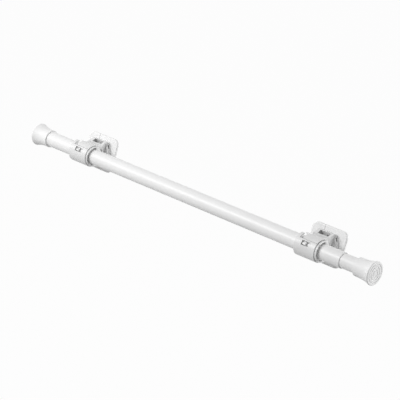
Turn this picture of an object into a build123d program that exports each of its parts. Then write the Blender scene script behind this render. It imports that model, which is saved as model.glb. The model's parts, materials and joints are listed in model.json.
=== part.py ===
"""Extendable curtain rod held by two stick-on wall brackets.

Millimetres. +X runs along the rod towards the sliding tube, +Y goes into the wall, +Z is up.
The origin is the centre of the left bracket's adhesive pad, on the wall.
"""
import os
from math import atan2, cos, degrees, radians, sin

from build123d import *

# Rod
outer_tube_diameter = 22.0
outer_tube_wall = 0.6
outer_tube_length = 578.0
inner_tube_diameter = 20.0
inner_tube_wall = 0.6
inner_tube_length = 520.0
inner_tube_shown = 24.0         # bare inner tube between the outer tube and the right cap
tube_edge_round = 0.2
press_clearance = 0.05          # radial play of what is pushed on or into a tube

# End caps
cap_length = 27.0
cap_end_wall = 4.0
cap_mouth_diameter = 25.4
cap_face_diameter = 32.6
cap_rim_width = 1.6
cap_edge_round = 1.2
cap_flare = 0.42                # slope of the flare just behind the rim
cap_ring_radii = (4.5, 8.5, 12.5)
cap_ring_width = 1.2
cap_ring_depth = 0.7

# Plugs in the outer ends of the tubes
plug_length = 14.0
plug_flange = 1.5
plug_wall = 2.0

# Twist lock at the inner end of the inner tube
stud_insert_length = 25.0
stud_flange = 2.0
journal_radius = 6.0
journal_offset = 0.25
journal_play = 0.40             # radial play of the ring on the journal
lock_ring_length = 14.0
lock_ring_side_play = 0.2
lock_ring_play = 0.12           # radial play of the ring in the outer tube
lock_washer_radius = 8.8
lock_washer_thickness = 1.2
lock_screw_radius = 1.5
lock_screw_length = 12.0
lock_screw_head_radius = 3.0
lock_screw_head_height = 2.0

# Where the brackets and the rod lie
bracket_spacing = 430.0
rod_overhang = 97.5             # left cap's face to the middle of the left plate
rod_standoff = 37.0             # wall to rod axis
rod_drop = 3.3                  # rod axis below the middle of the plate

# Wall plate and its pad
pad_width = 56.0
pad_height = 46.0
pad_thickness = 1.0
pad_corner = 7.0
plate_width = 59.0
plate_height = 50.4
plate_thickness = 3.0
plate_corner = 9.0
plate_edge_round = 1.4
plate_slit_offset = 8.7         # fine slit above the holder, left of the middle
plate_slit_width = 0.7
plate_slit_depth = 1.0

# Rail on the plate and the slot in the holder's foot
rail_neck_width = 8.0
rail_head_width = 14.0
rail_head_thickness = 1.8
rail_top = 12.0                 # above the middle of the plate
rail_length = 22.0
rail_play = 0.25
foot_lip = 2.0
foot_radius = 20.5
foot_thickness = 6.0
foot_gap = 0.2                  # running gap between the foot and the plate
foot_edge_round = 1.2
side_slot_top = 14.5            # small opening in the foot's right side, into the rail's slot
side_slot_height = 5.0

# Collar around the rod
collar_shift = 2.5              # middle of the collar, to the right of the plate's middle
collar_left = -18.0             # from the middle of the collar
collar_right = 19.2
collar_radius = 16.0
lip_radius = 14.9               # the slimmer end to the right of the groove
lip_end_angle = 100.0           # the holder's lip ends here, just behind the top
collar_play = 0.3               # radial play around the rod
collar_wall = 1.8
collar_recess = 5.5             # depth of the open ends, where the wall stands clear of the rod
collar_outer_round = 1.4
collar_lip_round = 0.3
groove_x = 16.4                 # groove near the right end
groove_width = 0.9
groove_depth = 0.7
seam_angle = 36.0               # upper joint of jaw and holder, up from the front
seam_gap_angle = 1.6

# Arm over the rod
arm_thickness = 5.2
arm_top = 15.7                  # above the rod axis
arm_rise_start = 18.5           # behind the rod axis
foot_top = 21.4                 # flat top of the foot above the rod axis
arm_rise_length = 7.5
arm_rise_round = 5.0
arm_foot_half_width = 14.0
arm_left_edge = 8.0             # left side of the arm where it meets the collar
arm_right_edge = 19.0           # right side of the arm where it meets the collar
arm_straight = 3.0              # the right side runs straight this far behind the rod axis
arm_edge_round = 1.8
window_width = 17.5
window_height = 8.0
window_depth = 6.0
notch_back = 4.5                # the open notch beside the arm ends here, behind the rod axis

# Jaw hinge
hinge_angle = -135.0
hinge_distance = 16.8           # from the rod axis
knuckle_radius = 3.0
knuckle_half = 6.4              # half the jaw's middle knuckle
knuckle_gap = 0.3
knuckle_reach = 16.0            # outer end of the holder's knuckles
pin_radius = 1.2
pin_play = 0.05                 # radial play in the jaw's knuckle
pin_press = 0.01                # and in the holder's knuckles
jaw_end_angle = -127.0
holder_end_angle = -139.0

# Latch at the jaw's upper edge
latch_window_half = 7.2
latch_window_low = 5.0          # angles up from the front
latch_window_high = 29.0
latch_bar = 1.7                 # thickness of the bar above the window
tongue_left = -6.4
tongue_right = -1.2
tongue_inner = 11.7
tongue_outer = 13.3
tongue_tip_angle = 8.0
tongue_play = 0.4
nose_outer = 14.4
nose_low = 9.0
nose_high = 19.0
tab_left = -18.0
tab_right = -13.2
tab_thickness = 1.7
tab_root = 6.0                  # how far the tab reaches down into the jaw, as an angle
tab_angle = 74.0

os.makedirs("parts", exist_ok=True)

# Places that follow from the sizes above
rod_y = -rod_standoff
rod_z = -rod_drop
plate_front_y = -(pad_thickness + plate_thickness)
foot_back_y = plate_front_y - foot_gap
foot_front_y = foot_back_y - foot_thickness
outer_tube_radius = outer_tube_diameter / 2
outer_tube_bore = outer_tube_radius - outer_tube_wall
inner_tube_radius = inner_tube_diameter / 2
inner_tube_bore = inner_tube_radius - inner_tube_wall
collar_bore = outer_tube_radius + collar_play
left_face_x = -rod_overhang
outer_start_x = left_face_x + cap_end_wall + plug_flange
outer_end_x = outer_start_x + outer_tube_length
right_mouth_x = outer_end_x + inner_tube_shown
right_face_x = right_mouth_x + cap_length
inner_end_x = right_face_x - cap_end_wall - plug_flange
inner_start_x = inner_end_x - inner_tube_length
rod_axis = Axis((0, rod_y, rod_z), (1, 0, 0))
hinge_y = rod_y - hinge_distance * cos(radians(hinge_angle))
hinge_z = rod_z + hinge_distance * sin(radians(hinge_angle))


def finish(builder, name):
    """Label a finished piece and write it."""
    builder.part.label = name
    export_step(builder.part, f"parts/{name}.step")


def cross_plane(x, y=rod_y, z=rod_z):
    """Plane across the rod at x: its own axes are Y and Z, its normal is +X."""
    return Plane(origin=(x, y, z), x_dir=(0, 1, 0), z_dir=(1, 0, 0))


def radial_plane(x, angle):
    """Plane through the rod axis: its own axes are X and the radius at an angle up from the front."""
    turn = radians(angle)
    return Plane(origin=(x, rod_y, rod_z), x_dir=(1, 0, 0), z_dir=(0, -sin(turn), -cos(turn)))


def wall_plane(x, y, z=0.0):
    """Plane parallel to the wall: its own axes are X and Z, its normal points away from the wall."""
    return Plane(origin=(x, y, z), x_dir=(1, 0, 0), z_dir=(0, -1, 0))


# Tubes
with BuildPart() as outer_tube:
    with BuildSketch(cross_plane(outer_start_x)):
        Circle(outer_tube_radius)
        Circle(outer_tube_bore, mode=Mode.SUBTRACT)
    extrude(amount=outer_tube_length)
    fillet(outer_tube.faces().sort_by(Axis.X)[-1].outer_wire().edges(), tube_edge_round)
finish(outer_tube, "outer_tube")

with BuildPart() as inner_tube:
    with BuildSketch(cross_plane(inner_start_x)):
        Circle(inner_tube_radius)
        Circle(inner_tube_bore, mode=Mode.SUBTRACT)
    extrude(amount=inner_tube_length)
finish(inner_tube, "inner_tube")

# End caps and the plugs behind them
for side, face_x, along, tube_radius, tube_bore in (
    ("left", left_face_x, 1, outer_tube_radius, outer_tube_bore),
    ("right", right_face_x, -1, inner_tube_radius, inner_tube_bore),
):
    face_plane = Plane(origin=(face_x, rod_y, rod_z), x_dir=(along, 0, 0), z_dir=(0, -along, 0))
    socket_radius = tube_radius + press_clearance
    mouth_radius = cap_mouth_diameter / 2
    face_radius = cap_face_diameter / 2
    with BuildPart() as end_cap:
        with BuildSketch(face_plane) as cap_profile:
            with BuildLine():
                flare_start = (cap_rim_width, face_radius)
                flare_end = (cap_length, mouth_radius)
                Spline(flare_start, flare_end, tangents=((1, -cap_flare), (1, 0)))
                Polyline(flare_end, (cap_length, socket_radius), (cap_end_wall, socket_radius),
                         (cap_end_wall, 0), (0, 0), (0, face_radius), flare_start)
            make_face()
            rim_corner = cap_profile.vertices().group_by(Axis.X)[0].sort_by(Axis.Y)[-1]
            fillet(rim_corner, cap_edge_round)
            for ring_radius in cap_ring_radii:
                with Locations((0, ring_radius)):
                    Rectangle(2 * cap_ring_depth, cap_ring_width, mode=Mode.SUBTRACT)
        revolve(axis=rod_axis)
    finish(end_cap, f"{side}_end_cap")

    plug_radius = tube_bore - press_clearance
    with BuildPart() as tube_plug:
        with BuildSketch(face_plane):
            with BuildLine():
                flange_x = cap_end_wall + plug_flange
                plug_end_x = flange_x + plug_length
                Polyline((cap_end_wall, 0), (cap_end_wall, tube_radius), (flange_x, tube_radius),
                         (flange_x, plug_radius), (plug_end_x, plug_radius),
                         (plug_end_x, plug_radius - plug_wall), (flange_x, plug_radius - plug_wall),
                         (flange_x, 0), close=True)
            make_face()
        revolve(axis=rod_axis)
    finish(tube_plug, f"{side}_tube_plug")

# Twist lock
journal_length = lock_ring_length + 2 * lock_ring_side_play
stud_flange_x = inner_start_x - stud_flange
journal_end_x = stud_flange_x - journal_length
ring_start_x = journal_end_x + lock_ring_side_play
washer_start_x = journal_end_x - lock_washer_thickness

with BuildPart() as lock_stud:
    with BuildSketch(cross_plane(inner_start_x)):
        Circle(inner_tube_bore - press_clearance)
    extrude(amount=stud_insert_length)
    with BuildSketch(cross_plane(stud_flange_x)):
        Circle(inner_tube_radius)
    extrude(amount=stud_flange)
    with BuildSketch(cross_plane(journal_end_x, z=rod_z + journal_offset)):
        Circle(journal_radius)
    extrude(amount=journal_length)
    with BuildSketch(cross_plane(journal_end_x)):
        Circle(lock_screw_radius + press_clearance)
    extrude(amount=lock_screw_length, mode=Mode.SUBTRACT)
finish(lock_stud, "lock_stud")

with BuildPart() as lock_ring:
    with BuildSketch(cross_plane(ring_start_x)):
        Circle(outer_tube_bore - lock_ring_play)
        with Locations((0, journal_offset)):
            Circle(journal_radius + journal_play, mode=Mode.SUBTRACT)
    extrude(amount=lock_ring_length)
finish(lock_ring, "lock_ring")

with BuildPart() as lock_washer:
    with BuildSketch(cross_plane(washer_start_x)):
        Circle(lock_washer_radius)
        Circle(lock_screw_radius + press_clearance, mode=Mode.SUBTRACT)
    extrude(amount=lock_washer_thickness)
finish(lock_washer, "lock_washer")

with BuildPart() as lock_screw:
    with BuildSketch(cross_plane(washer_start_x - lock_screw_head_height)):
        Circle(lock_screw_head_radius)
    extrude(amount=lock_screw_head_height)
    fillet(lock_screw.faces().sort_by(Axis.X)[0].edges(), lock_screw_head_height / 2)
    with BuildSketch(cross_plane(washer_start_x)):
        Circle(lock_screw_radius)
    extrude(amount=lock_screw_length)
finish(lock_screw, "lock_screw")


def collar_section(collar_x, angle, with_lip=True):
    """Draw the collar's section: a thin wall and a thick middle on the rod, then a groove and a lip."""
    wall_inner = collar_radius - collar_wall
    lip_inner = lip_radius - collar_wall
    groove_left = groove_x - groove_width / 2
    groove_right = groove_x + groove_width / 2
    groove_floor = lip_radius - groove_depth
    with BuildSketch(radial_plane(collar_x, angle)) as section:
        with BuildLine():
            Polyline((collar_left, wall_inner), (collar_left, collar_radius), (groove_left, collar_radius),
                     (groove_left, groove_floor), (groove_right, groove_floor), (groove_right, lip_radius),
                     (collar_right, lip_radius), (collar_right, lip_inner),
                     (collar_right - collar_recess, lip_inner), (collar_right - collar_recess, collar_bore),
                     (collar_left + collar_recess, collar_bore), (collar_left + collar_recess, wall_inner),
                     close=True)
        make_face()
        for end in (0, -1):
            inner_corner, outer_corner = section.vertices().group_by(Axis.X)[end].sort_by(Axis.Y)
            fillet(inner_corner, collar_lip_round)
            fillet(outer_corner, collar_outer_round)
        if not with_lip:
            with Locations((groove_left, collar_bore)):
                Rectangle(collar_right, collar_radius, align=Align.MIN, mode=Mode.SUBTRACT)
    return section.sketch


def arc_block(collar_x, left, right, inner, outer, high, low, mode=Mode.ADD):
    """Add or cut a curved block: from left to right along X, between two radii and two angles."""
    with BuildSketch(radial_plane(collar_x, high)) as section:
        with Locations(((left + right) / 2, (inner + outer) / 2)):
            Rectangle(right - left, outer - inner)
    revolve(section.sketch, axis=rod_axis, revolution_arc=high - low, mode=mode)


def hinge_rod(collar_x, left, right, radius, mode=Mode.ADD):
    """Add or cut a round bar on the hinge axis, from left to right along X."""
    with BuildSketch(cross_plane(collar_x + left, hinge_y, hinge_z)) as section:
        Circle(radius)
    extrude(section.sketch, amount=right - left, mode=mode)


# Brackets
for side, bracket_x in (("left", 0.0), ("right", bracket_spacing)):
    collar_x = bracket_x + collar_shift
    with BuildPart() as adhesive_pad:
        with BuildSketch(wall_plane(bracket_x, 0)):
            RectangleRounded(pad_width, pad_height, pad_corner)
        extrude(amount=pad_thickness)
    finish(adhesive_pad, f"{side}_adhesive_pad")

    rail_middle = rail_top - rail_length / 2
    rail_neck_height = foot_gap + foot_lip + rail_play
    with BuildPart() as wall_plate:
        with BuildSketch(wall_plane(bracket_x, -pad_thickness)):
            RectangleRounded(plate_width, plate_height, plate_corner)
        extrude(amount=plate_thickness)
        fillet(wall_plate.faces().sort_by(Axis.Y)[0].edges(), plate_edge_round)
        with BuildSketch(wall_plane(bracket_x - plate_slit_offset, plate_front_y, foot_top + rod_z)):
            Rectangle(plate_slit_width, plate_height, align=(Align.CENTER, Align.MIN))
        extrude(amount=-plate_slit_depth, mode=Mode.SUBTRACT)
        with BuildSketch(wall_plane(bracket_x, plate_front_y, rail_middle)):
            Rectangle(rail_neck_width, rail_length)
        extrude(amount=rail_neck_height)
        with BuildSketch(wall_plane(bracket_x, plate_front_y - rail_neck_height, rail_middle)):
            Rectangle(rail_head_width, rail_length)
        extrude(amount=rail_head_thickness)
    finish(wall_plate, f"{side}_wall_plate")

    with BuildPart() as holder:
        arm_back = foot_back_y - rod_y
        foot_front = foot_front_y - rod_y
        rise_end = arm_rise_start + arm_rise_length
        with BuildSketch(cross_plane(collar_x + collar_left)) as arm_side:
            with BuildLine():
                Polyline((0, arm_top - arm_thickness), (0, arm_top), (arm_rise_start, arm_top),
                         (rise_end, foot_top), (arm_back, foot_top), (arm_back, 0),
                         (foot_front, 0), (arm_rise_start, arm_top - arm_thickness), close=True)
            make_face()
            rise_corners = arm_side.vertices().group_by(Axis.X)[1].group_by(Axis.Y)
            fillet(rise_corners[-1], arm_rise_round)
        extrude(amount=collar_right - collar_left)
        with BuildSketch(Plane.XY.offset(rod_z)):
            with BuildLine():
                flank_start = (collar_x + arm_right_edge, rod_y + arm_straight)
                flank_end = (bracket_x + arm_foot_half_width, rod_y + arm_rise_start)
                Spline(flank_start, flank_end, tangents=((-0.4, 1), (0, 1)))
                Polyline(flank_end, (bracket_x + arm_foot_half_width, foot_back_y),
                         (bracket_x - arm_foot_half_width, foot_back_y),
                         (bracket_x - arm_foot_half_width, rod_y + arm_rise_start),
                         (collar_x - arm_left_edge, rod_y + notch_back),
                         (collar_x - arm_left_edge, rod_y), (collar_x + arm_right_edge, rod_y), flank_start)
            make_face()
        extrude(amount=foot_top, mode=Mode.INTERSECT)
        top_edges = holder.edges().filter_by(lambda edge: edge.center().Z > rod_z + arm_top - arm_edge_round)
        right_edges = top_edges.filter_by(lambda edge: edge.center().X > collar_x + arm_left_edge)
        fillet(right_edges, arm_edge_round)
        with BuildSketch(wall_plane(bracket_x, foot_back_y)):
            Circle(foot_radius)
            with Locations((0, foot_top + rod_z + foot_radius)):
                Rectangle(2 * foot_radius, 2 * foot_radius, mode=Mode.SUBTRACT)
        extrude(amount=foot_thickness)
        foot_arcs = holder.edges().filter_by(GeomType.CIRCLE).group_by(SortBy.RADIUS)[-1]
        fillet(foot_arcs.group_by(Axis.Y)[0], foot_edge_round)
        holder_arc = holder_end_angle + 360 - seam_angle - seam_gap_angle
        back_section = collar_section(collar_x, holder_end_angle, with_lip=False)
        revolve(back_section, axis=rod_axis, revolution_arc=holder_arc)
        lip_arc = lip_end_angle - seam_angle - seam_gap_angle
        revolve(collar_section(collar_x, lip_end_angle), axis=rod_axis, revolution_arc=lip_arc)
        with BuildSketch(cross_plane(collar_x)):
            Circle(collar_bore)
        extrude(amount=collar_right, both=True, mode=Mode.SUBTRACT)
        with Locations((collar_x - arm_left_edge, rod_y + notch_back, rod_z)):
            Box(collar_right, 2 * collar_radius, 2 * collar_radius, mode=Mode.SUBTRACT,
                align=(Align.MAX, Align.MAX, Align.MIN))
        window_slope = degrees(atan2(foot_top - arm_top, arm_rise_length))
        window_y = rod_y + arm_rise_start + arm_rise_length / 2
        window_z = rod_z + (arm_top + foot_top) / 2
        window_plane = Plane(origin=(bracket_x, window_y, window_z), x_dir=(1, 0, 0),
                             z_dir=(0, -sin(radians(window_slope)), cos(radians(window_slope))))
        with BuildSketch(window_plane):
            Rectangle(window_width, window_height)
        extrude(amount=-window_depth, mode=Mode.SUBTRACT)
        slot_middle = (rail_top + rail_play - foot_radius) / 2
        slot_length = rail_top + rail_play + foot_radius
        with BuildSketch(wall_plane(bracket_x, foot_back_y, slot_middle)):
            Rectangle(rail_neck_width + 2 * rail_play, slot_length)
        extrude(amount=foot_lip, mode=Mode.SUBTRACT)
        with BuildSketch(wall_plane(bracket_x, foot_back_y - foot_lip, slot_middle)):
            Rectangle(rail_head_width + 2 * rail_play, slot_length)
        extrude(amount=rail_head_thickness + 2 * rail_play, mode=Mode.SUBTRACT)
        with BuildSketch(wall_plane(bracket_x, foot_back_y - foot_lip, side_slot_top)):
            Rectangle(foot_radius, side_slot_height, align=(Align.MIN, Align.MAX))
        extrude(amount=rail_head_thickness + 2 * rail_play, mode=Mode.SUBTRACT)
        for knuckle_start in (-knuckle_reach, knuckle_half + knuckle_gap):
            knuckle_end = knuckle_start + knuckle_reach - knuckle_half - knuckle_gap
            hinge_rod(collar_x, knuckle_start, knuckle_end, knuckle_radius)
        hinge_rod(collar_x, -knuckle_half - knuckle_gap, knuckle_half + knuckle_gap,
                  knuckle_radius + knuckle_gap, Mode.SUBTRACT)
        hinge_rod(collar_x, -knuckle_reach, knuckle_reach, pin_radius + pin_press, Mode.SUBTRACT)
        tongue_root_angle = seam_angle + 2 * seam_gap_angle
        arc_block(collar_x, tongue_left, tongue_right, tongue_inner, tongue_outer,
                  tongue_root_angle, tongue_tip_angle)
        arc_block(collar_x, tongue_left, tongue_right, tongue_inner, nose_outer, nose_high, nose_low)
    finish(holder, f"{side}_holder")

    with BuildPart() as front_jaw:
        jaw_arc = seam_angle - jaw_end_angle
        revolve(collar_section(collar_x, seam_angle), axis=rod_axis, revolution_arc=jaw_arc)
        tab_inner = collar_radius - collar_wall
        arc_block(collar_x, tab_left, tab_right, tab_inner, tab_inner + tab_thickness, tab_angle,
                  seam_angle - tab_root)
        arc_block(collar_x, tongue_left - tongue_play, tongue_right + tongue_play,
                  outer_tube_radius, collar_radius - latch_bar, tab_angle,
                  latch_window_low, Mode.SUBTRACT)
        arc_block(collar_x, -latch_window_half, latch_window_half, outer_tube_radius,
                  collar_radius + latch_bar, latch_window_high, latch_window_low, Mode.SUBTRACT)
        for relief_left, relief_right in ((collar_left, -knuckle_half), (knuckle_half, collar_right)):
            hinge_rod(collar_x, relief_left, relief_right, knuckle_radius + knuckle_gap, Mode.SUBTRACT)
        hinge_rod(collar_x, -knuckle_half, knuckle_half, knuckle_radius)
        hinge_rod(collar_x, -knuckle_half, knuckle_half, pin_radius + pin_play, Mode.SUBTRACT)
    finish(front_jaw, f"{side}_front_jaw")

    with BuildPart() as hinge_pin:
        hinge_rod(collar_x, -knuckle_reach, knuckle_reach, pin_radius)
    finish(hinge_pin, f"{side}_hinge_pin")
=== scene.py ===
"""Looks of the extendable curtain rod: finishes, soft studio light and the photograph's camera.

Metres, in the same frame as the solids: +X along the rod, +Y into the wall, +Z up.
"""

import json
import math

import bpy
from mathutils import Matrix, Vector


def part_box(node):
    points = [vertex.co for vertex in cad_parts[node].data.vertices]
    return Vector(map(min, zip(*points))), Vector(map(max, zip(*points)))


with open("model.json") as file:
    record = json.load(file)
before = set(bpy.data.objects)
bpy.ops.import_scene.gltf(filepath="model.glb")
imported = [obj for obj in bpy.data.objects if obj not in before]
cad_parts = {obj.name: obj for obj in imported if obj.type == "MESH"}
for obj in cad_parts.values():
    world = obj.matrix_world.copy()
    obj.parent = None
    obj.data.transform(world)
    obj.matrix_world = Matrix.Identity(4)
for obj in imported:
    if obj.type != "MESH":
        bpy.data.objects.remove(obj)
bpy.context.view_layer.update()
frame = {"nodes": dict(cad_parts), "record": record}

# The rod's axis
tube_low, tube_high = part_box("outer_tube")
rod_y = (tube_low[1] + tube_high[1]) / 2
rod_z = (tube_low[2] + tube_high[2]) / 2

# Camera, as fitted to the photograph
view_azimuth = 39.2             # degrees from straight in front, towards the sliding end
view_elevation = 9.45
view_roll = 14.95               # how far the rod dips to the right in the picture
view_distance = 2.327
view_target = (0.22793, -0.03162, -0.00343)
sensor_width = 36.0             # millimetres
lens_length = 153.0

# Stage and light
floor_height = -0.32
floor_size = 400.0              # so wide that its edge lies at the horizon
floor_colour = (0.45, 0.45, 0.45)
floor_glow = 0.97               # share of the floor's look that is plain white
world_light = 0.46              # strength of the surroundings as light on the rod
key_x = -1.0                    # to the left of the rod
key_place = (key_x, -1.89, 0.78)    # in front and above
key_aim = (key_x, rod_y, rod_z)
key_power = 38.0                # watts
key_sides = (1.8, 0.6)          # the long side lies along the rod
rim_place = (1.9, 1.5, 0.5)     # behind, to the right
rim_aim = (0.5, rod_y, rod_z)
rim_power = 28.0
rim_sides = (1.2, 1.2)
side_place = (-2.27, rod_y, 0.22)   # far to the left, in line with the rod
side_aim = (0.22, rod_y, rod_z)
side_power = 14.0
side_sides = (1.2, 1.2)

# Painted and moulded finishes: colour from and to, roughness from and to, grain size, grain strength
finishes = {
    "tube_paint": ((0.85, 0.85, 0.85), (0.88, 0.88, 0.88), 0.34, 0.44, 0.0016, 0.03),
    "bracket_plastic": ((0.76, 0.76, 0.76), (0.80, 0.80, 0.80), 0.34, 0.46, 0.0007, 0.05),
    # a lighter copy of the bracket plastic for the front-facing wall plates: painted light
    "lit_plate_plastic": ((0.83, 0.83, 0.83), (0.87, 0.87, 0.87), 0.34, 0.46, 0.0007, 0.05),
    "cap_plastic": ((0.86, 0.86, 0.86), (0.89, 0.89, 0.89), 0.48, 0.62, 0.0009, 0.08),
    "inner_plastic": ((0.55, 0.55, 0.53), (0.62, 0.62, 0.60), 0.45, 0.60, 0.0008, 0.08),
}
clouds = (0.03, 3)              # size and detail of patches of slightly different colour
gloss_patches = (0.012, 4)      # size and detail of patches of slightly different gloss
grain_detail = 2
noise_low, noise_high = 0.3, 0.7    # the middle part of a noise, where most of its values lie

# Painted shade: the holders' colour darkens in their own inner corners, where shade falls
corner_shade_reach = 0.008
corner_shade_share = 0.5               # share of the colour with painted corner shade

# Rubbing along the sliding tube
rubbing = (0.0015, 3, (60, 1, 1))   # width, detail and stretch along the tube
rub_roughness = 0.08            # added to the roughest of the paint

# Foam tape of the adhesive pads
foam_colours = ((0.60, 0.60, 0.58), (0.74, 0.74, 0.72))
foam_roughness = 0.9
foam_mottle = (0.004, 5)        # size and detail
foam_cells_per_metre = 1400
foam_cell_strength = 0.35
foam_cell_depth = 0.0004

# Drawn steel of the pins, the washer and the screw
steel_colours = ((0.42, 0.42, 0.43), (0.58, 0.58, 0.59))
steel_roughness = (0.25, 0.42)
steel_lines = (0.0003, 3, (40, 1, 1))   # width, detail and stretch along the piece
steel_line_strength = 0.05
steel_line_depth = 0.0002

# Nodes whose finish differs a little from the rest of their material slot: the wall plates by a lighter
# colour that is painted light, the holders by painted corner shade
node_finishes = {
    "left_wall_plate": "lit_plate_plastic",
    "right_wall_plate": "lit_plate_plastic",
    "left_holder": "holder_plastic_painted_shade",
    "right_holder": "holder_plastic_painted_shade",
    "inner_tube": "sliding_tube_paint",
}


def new_material(name):
    """An empty node material with its output and principled shader joined."""
    material = bpy.data.materials.new(name)
    material.use_nodes = True
    tree = material.node_tree
    tree.nodes.clear()
    output = tree.nodes.new("ShaderNodeOutputMaterial")
    shader = tree.nodes.new("ShaderNodeBsdfPrincipled")
    tree.links.new(shader.outputs["BSDF"], output.inputs["Surface"])
    return material, tree, shader


def noise(tree, size, detail, stretch=(1, 1, 1)):
    """Noise with features of about one size in metres, drawn out by a stretch along each axis."""
    place = tree.nodes.new("ShaderNodeTexCoord")
    mapping = tree.nodes.new("ShaderNodeMapping")
    mapping.inputs["Scale"].default_value = [1 / along for along in stretch]
    texture = tree.nodes.new("ShaderNodeTexNoise")
    texture.inputs["Scale"].default_value = 1 / size
    texture.inputs["Detail"].default_value = detail
    tree.links.new(place.outputs["Object"], mapping.inputs["Vector"])
    tree.links.new(mapping.outputs["Vector"], texture.inputs["Vector"])
    return texture.outputs["Fac"]


def colour_between(tree, factor, low, high):
    """A ramp from one colour to another over the middle of a noise."""
    ramp = tree.nodes.new("ShaderNodeValToRGB")
    ramp.color_ramp.elements[0].position = noise_low
    ramp.color_ramp.elements[0].color = (*low, 1)
    ramp.color_ramp.elements[1].position = noise_high
    ramp.color_ramp.elements[1].color = (*high, 1)
    tree.links.new(factor, ramp.inputs["Fac"])
    return ramp.outputs["Color"]


def number_between(tree, factor, low, high):
    """A number that goes from low to high over the middle of a noise."""
    spread = tree.nodes.new("ShaderNodeMapRange")
    spread.inputs["From Min"].default_value = noise_low
    spread.inputs["From Max"].default_value = noise_high
    spread.inputs["To Min"].default_value = low
    spread.inputs["To Max"].default_value = high
    tree.links.new(factor, spread.inputs["Value"])
    return spread.outputs["Result"]


def add_bump(tree, shader, height, strength, depth):
    """Small relief on the surface from a height."""
    bump = tree.nodes.new("ShaderNodeBump")
    bump.inputs["Strength"].default_value = strength
    bump.inputs["Distance"].default_value = depth
    tree.links.new(height, bump.inputs["Height"])
    tree.links.new(bump.outputs["Normal"], shader.inputs["Normal"])


def paint_corner_shade(tree, colour):
    """A colour with painted shade: it darkens a little in a piece's own inner corners, by ambient occlusion.
    """
    corners = tree.nodes.new("ShaderNodeAmbientOcclusion")
    corners.only_local = True
    corners.inputs["Distance"].default_value = corner_shade_reach
    mix = tree.nodes.new("ShaderNodeMix")
    mix.data_type = "RGBA"
    mix.inputs["Factor"].default_value = corner_shade_share
    tree.links.new(colour, corners.inputs["Color"])
    first_colour, second_colour = [socket for socket in mix.inputs if socket.type == "RGBA"]
    tree.links.new(colour, first_colour)
    tree.links.new(corners.outputs["Color"], second_colour)
    return [socket for socket in mix.outputs if socket.type == "RGBA"][0]


def moulded_finish(name, low, high, smooth, rough, grain, strength, corner_shaded=False):
    """Paint or plastic: slight clouding of colour and gloss, a fine grain, and painted shade in its own
    inner corners where asked.
    """
    material, tree, shader = new_material(name)
    colour = colour_between(tree, noise(tree, *clouds), low, high)
    # painted shade in the piece's own inner corners
    if corner_shaded:
        colour = paint_corner_shade(tree, colour)
    tree.links.new(colour, shader.inputs["Base Color"])
    roughness = number_between(tree, noise(tree, *gloss_patches), smooth, rough)
    tree.links.new(roughness, shader.inputs["Roughness"])
    add_bump(tree, shader, noise(tree, grain, grain_detail), strength, grain)
    return material


def sliding_tube_finish(name, low, high, smooth, rough, grain, strength):
    """The tubes' paint with faint lengthwise rubbing from the tube around it."""
    material, tree, shader = new_material(name)
    streaks = noise(tree, *rubbing)
    tree.links.new(colour_between(tree, streaks, low, high), shader.inputs["Base Color"])
    roughness = number_between(tree, streaks, smooth, rough + rub_roughness)
    tree.links.new(roughness, shader.inputs["Roughness"])
    add_bump(tree, shader, noise(tree, grain, grain_detail), strength, grain)
    return material


def foam_tape_finish():
    """Pale foam tape: small open cells and a mottled colour."""
    material, tree, shader = new_material("foam_tape")
    shader.inputs["Roughness"].default_value = foam_roughness
    mottle = noise(tree, *foam_mottle)
    tree.links.new(colour_between(tree, mottle, *foam_colours), shader.inputs["Base Color"])
    place = tree.nodes.new("ShaderNodeTexCoord")
    cells = tree.nodes.new("ShaderNodeTexVoronoi")
    cells.inputs["Scale"].default_value = foam_cells_per_metre
    tree.links.new(place.outputs["Object"], cells.inputs["Vector"])
    add_bump(tree, shader, cells.outputs["Distance"], foam_cell_strength, foam_cell_depth)
    return material


def drawn_steel_finish():
    """Plain drawn steel: grey metal with fine lengthwise lines."""
    material, tree, shader = new_material("drawn_steel")
    shader.inputs["Metallic"].default_value = 1.0
    lines = noise(tree, *steel_lines)
    tree.links.new(colour_between(tree, lines, *steel_colours), shader.inputs["Base Color"])
    tree.links.new(number_between(tree, lines, *steel_roughness), shader.inputs["Roughness"])
    add_bump(tree, shader, lines, steel_line_strength, steel_line_depth)
    return material


# Every node takes the finish of its material slot, or its own where it has one
materials = {name: moulded_finish(name, *values) for name, values in finishes.items()}
# the holders' plastic, with painted shade in their own inner corners
materials["holder_plastic_painted_shade"] = moulded_finish("holder_plastic_painted_shade", *finishes["bracket_plastic"], corner_shaded=True)
materials["sliding_tube_paint"] = sliding_tube_finish("sliding_tube_paint", *finishes["tube_paint"])
materials["pad_foam"] = foam_tape_finish()
materials["steel"] = drawn_steel_finish()
for part in frame["record"]["subparts"]:
    finish = node_finishes.get(part["node"], part["material_slot"])
    piece = frame["nodes"][part["node"]]
    piece.data.materials.clear()
    piece.data.materials.append(materials[finish])


def seen_ray(tree):
    """One where the camera, a reflection or a clear piece looks, nought where light only bounces."""
    path = tree.nodes.new("ShaderNodeLightPath")
    factor = path.outputs["Is Camera Ray"]
    for kind in ("Is Glossy Ray", "Is Transmission Ray"):
        either = tree.nodes.new("ShaderNodeMath")
        either.operation = "MAXIMUM"
        tree.links.new(factor, either.inputs[0])
        tree.links.new(path.outputs[kind], either.inputs[1])
        factor = either.outputs["Value"]
    return factor


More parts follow.
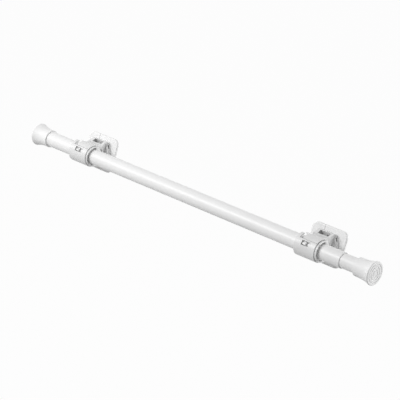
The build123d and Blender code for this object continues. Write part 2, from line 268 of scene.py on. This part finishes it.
def white_floor():
    """A wide pale floor under the rod that looks white and still takes a soft shadow."""
    half = floor_size / 2
    mesh = bpy.data.meshes.new("floor")
    corners = [(x, y, floor_height) for x, y in ((-half, -half), (half, -half), (half, half), (-half, half))]
    mesh.from_pydata(corners, [], [(0, 1, 2, 3)])
    floor = bpy.data.objects.new("floor", mesh)
    bpy.context.scene.collection.objects.link(floor)
    material = bpy.data.materials.new("floor_white")
    material.use_nodes = True
    tree = material.node_tree
    tree.nodes.clear()
    output = tree.nodes.new("ShaderNodeOutputMaterial")
    matte = tree.nodes.new("ShaderNodeBsdfDiffuse")
    matte.inputs["Color"].default_value = (*floor_colour, 1)
    glow = tree.nodes.new("ShaderNodeEmission")
    glow.inputs["Strength"].default_value = 1.0
    share = tree.nodes.new("ShaderNodeMath")
    share.operation = "MULTIPLY"
    share.inputs[1].default_value = floor_glow
    mix = tree.nodes.new("ShaderNodeMixShader")
    tree.links.new(seen_ray(tree), share.inputs[0])
    tree.links.new(share.outputs["Value"], mix.inputs["Fac"])
    tree.links.new(matte.outputs["BSDF"], mix.inputs[1])
    tree.links.new(glow.outputs["Emission"], mix.inputs[2])
    tree.links.new(mix.outputs["Shader"], output.inputs["Surface"])
    mesh.materials.append(material)


def soft_world():
    """Even white surroundings: dimmer as light on the rod than as the background that is seen."""
    world = bpy.data.worlds.new("studio")
    bpy.context.scene.world = world
    world.use_nodes = True
    tree = world.node_tree
    background = tree.nodes["Background"]
    background.inputs["Color"].default_value = (1, 1, 1, 1)
    strength = tree.nodes.new("ShaderNodeMapRange")
    strength.inputs["To Min"].default_value = world_light
    strength.inputs["To Max"].default_value = 1.0
    tree.links.new(seen_ray(tree), strength.inputs["Value"])
    tree.links.new(strength.outputs["Result"], background.inputs["Strength"])


def area_light(name, place, aim, power, sides):
    """A rectangular soft light that faces a point."""
    lamp = bpy.data.lights.new(name, "AREA")
    lamp.shape = "RECTANGLE"
    lamp.energy = power
    lamp.size, lamp.size_y = sides
    light = bpy.data.objects.new(name, lamp)
    bpy.context.scene.collection.objects.link(light)
    light.location = place
    direction = Vector(aim) - Vector(place)
    light.rotation_euler = direction.to_track_quat("-Z", "Y").to_euler()


def photo_camera():
    """The photograph's camera: turned to the right of the rod, a little above it, and rolled."""
    azimuth = math.radians(view_azimuth)
    elevation = math.radians(view_elevation)
    roll = math.radians(view_roll)
    level = math.cos(elevation)
    back = Vector((math.sin(azimuth) * level, -math.cos(azimuth) * level, math.sin(elevation)))
    level_right = Vector((math.cos(azimuth), math.sin(azimuth), 0))
    level_up = back.cross(level_right)
    right = level_right * math.cos(roll) + level_up * math.sin(roll)
    up = level_up * math.cos(roll) - level_right * math.sin(roll)
    lens = bpy.data.cameras.new("photo_camera")
    lens.sensor_width = sensor_width
    lens.lens = lens_length
    camera = bpy.data.objects.new("photo_camera", lens)
    bpy.context.scene.collection.objects.link(camera)
    turn = Matrix((right, up, back)).transposed().to_4x4()
    camera.matrix_world = Matrix.Translation(Vector(view_target) + back * view_distance) @ turn
    bpy.context.scene.camera = camera


white_floor()
soft_world()
area_light("key_light", key_place, key_aim, key_power, key_sides)
area_light("rim_light", rim_place, rim_aim, rim_power, rim_sides)
area_light("side_light", side_place, side_aim, side_power, side_sides)
photo_camera()
bpy.context.scene.view_settings.view_transform = "Standard"
